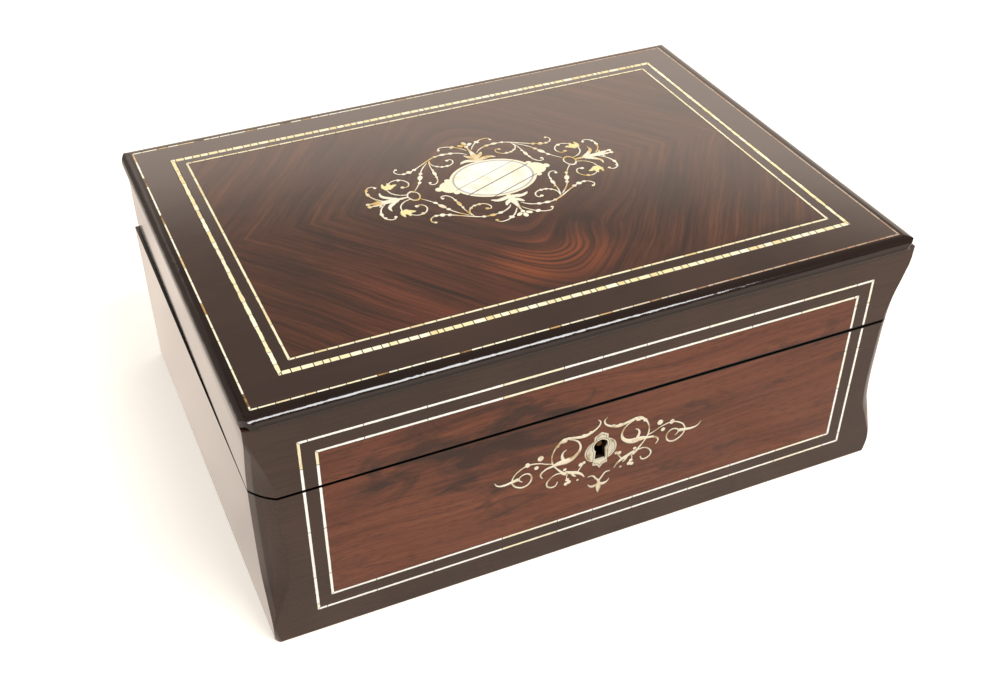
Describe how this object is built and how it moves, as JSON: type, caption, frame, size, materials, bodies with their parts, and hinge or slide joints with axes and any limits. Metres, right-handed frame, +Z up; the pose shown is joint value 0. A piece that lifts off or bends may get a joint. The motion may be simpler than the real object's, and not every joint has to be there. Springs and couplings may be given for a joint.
{
  "type": "wind up music box",
  "caption": "Inlaid lidded wooden casket with a keyhole, holding a lever-wound cylinder musical movement under an inner glass.",
  "frame": {"origin": "centre of the box's underside", "axes": "+X along the front to the right, +Y towards the hinged back, +Z up"},
  "size_m": [0.2982, 0.218, 0.122],
  "materials": {
    "rosewood": "French-polished rosewood",
    "ebonised": "ebonised and French-polished",
    "pearl": "polished mother-of-pearl inlay",
    "brass_line": "polished inlaid brass line",
    "deal": "varnished deal",
    "cast_bed": "cast and painted",
    "steel": "polished steel",
    "glass": "clear window glass",
    "brass": "lacquered brass"
  },
  "bodies": {
    "case": {"barrel_stands": "brass", "base_back_wall": "ebonised", "base_brass_screws": "brass", "base_front_banding": "ebonised", "base_front_lines": "pearl", "base_front_panel": "rosewood", "base_front_wall": "ebonised", "base_left_wall": "ebonised", "base_right_wall": "ebonised", "bed_battens": "deal", "bedplate": "cast_bed", "bedplate_screws": "steel", "bottom_board": "deal", "comb_base": "brass", "comb_screws": "steel", "cylinder_stand": "brass", "glass_ledges": "deal", "governor_frame": "brass", "hinge_base_leaves": "brass", "hinge_pins": "steel", "inner_glass": "glass", "keyhole_escutcheon": "pearl", "left_partition": "deal", "lock_body": "brass", "right_partition": "deal", "steel_comb": "steel", "stop_lever_post": "steel"},
    "lid": {"lid_back_wall": "ebonised", "lid_bandings": "ebonised", "lid_brass_screws": "brass", "lid_cartouche": "pearl", "lid_edge_line": "brass_line", "lid_edge_moulding": "ebonised", "lid_front_banding": "ebonised", "lid_front_lines": "pearl", "lid_front_panel": "rosewood", "lid_front_wall": "ebonised", "lid_inner_line": "pearl", "lid_left_wall": "ebonised", "lid_quartered_veneer": "rosewood", "lid_right_wall": "ebonised", "lid_top_board": "ebonised", "lid_wide_line": "pearl", "hinge_lid_leaves": "brass", "lock_strike_plate": "brass"},
    "bolt": {"lock_bolt": "steel"},
    "cylinder": {"pinned_cylinder": "brass", "cylinder_arbor": "steel", "great_wheel": "brass"},
    "barrel": {"spring_barrel": "brass", "mainspring": "steel"},
    "winder": {"winding_arbor": "steel", "ratchet_wheel": "steel", "winding_lever": "brass"},
    "click": {"ratchet_click": "steel"},
    "second": {"second_wheel": "steel"},
    "third": {"third_wheel": "steel"},
    "endless": {"endless_screw": "steel", "governor_fly": "brass"},
    "stop": {"stop_lever": "steel"}
  },
  "joints": [
    {"name": "lid_hinge", "type": "hinge", "parent": "case", "child": "lid", "pos_m": [0, 0.1075, 0.0806], "axis": [-1, 0, 0], "range_deg": [0, 100]},
    {"name": "lock_bolt_slide", "type": "slide", "parent": "case", "child": "bolt", "axis": [1, 0, 0], "range_m": [0, 0.004]},
    {"name": "cylinder_turn", "type": "hinge", "parent": "case", "child": "cylinder", "pos_m": [0.01, 0.022, 0.047], "axis": [1, 0, 0], "continuous": true},
    {"name": "barrel_turn", "type": "hinge", "parent": "case", "child": "barrel", "pos_m": [-0.07, -0.00986, 0.044], "axis": [1, 0, 0], "continuous": true},
    {"name": "second_wheel_turn", "type": "hinge", "parent": "case", "child": "second", "pos_m": [0.08, -0.00168, 0.03838], "axis": [1, 0, 0], "continuous": true},
    {"name": "third_wheel_turn", "type": "hinge", "parent": "case", "child": "third", "pos_m": [0.083, -0.01929, 0.04212], "axis": [1, 0, 0], "continuous": true},
    {"name": "endless_screw_turn", "type": "hinge", "parent": "case", "child": "endless", "pos_m": [0.086, -0.02884, 0.04212], "axis": [0, 0, 1], "continuous": true},
    {"name": "winding_lever_swing", "type": "hinge", "parent": "case", "child": "winder", "pos_m": [-0.1, -0.00986, 0.044], "axis": [1, 0, 0], "range_deg": [0, 75]},
    {"name": "click_lift", "type": "hinge", "parent": "case", "child": "click", "pos_m": [-0.091, -0.00111, 0.05916], "axis": [-1, 0, 0], "range_deg": [0, 10]},
    {"name": "stop_lever_swing", "type": "hinge", "parent": "case", "child": "stop", "pos_m": [0.1, -0.046, 0.0556], "axis": [0, 0, 1], "range_deg": [0, 12]}
  ],
  "couplings": [
    {"joint": "barrel_turn", "follows": "cylinder_turn", "ratio": -0.33333},
    {"joint": "second_wheel_turn", "follows": "cylinder_turn", "ratio": -6},
    {"joint": "third_wheel_turn", "follows": "cylinder_turn", "ratio": 30},
    {"joint": "endless_screw_turn", "follows": "cylinder_turn", "ratio": 900}
  ]
}
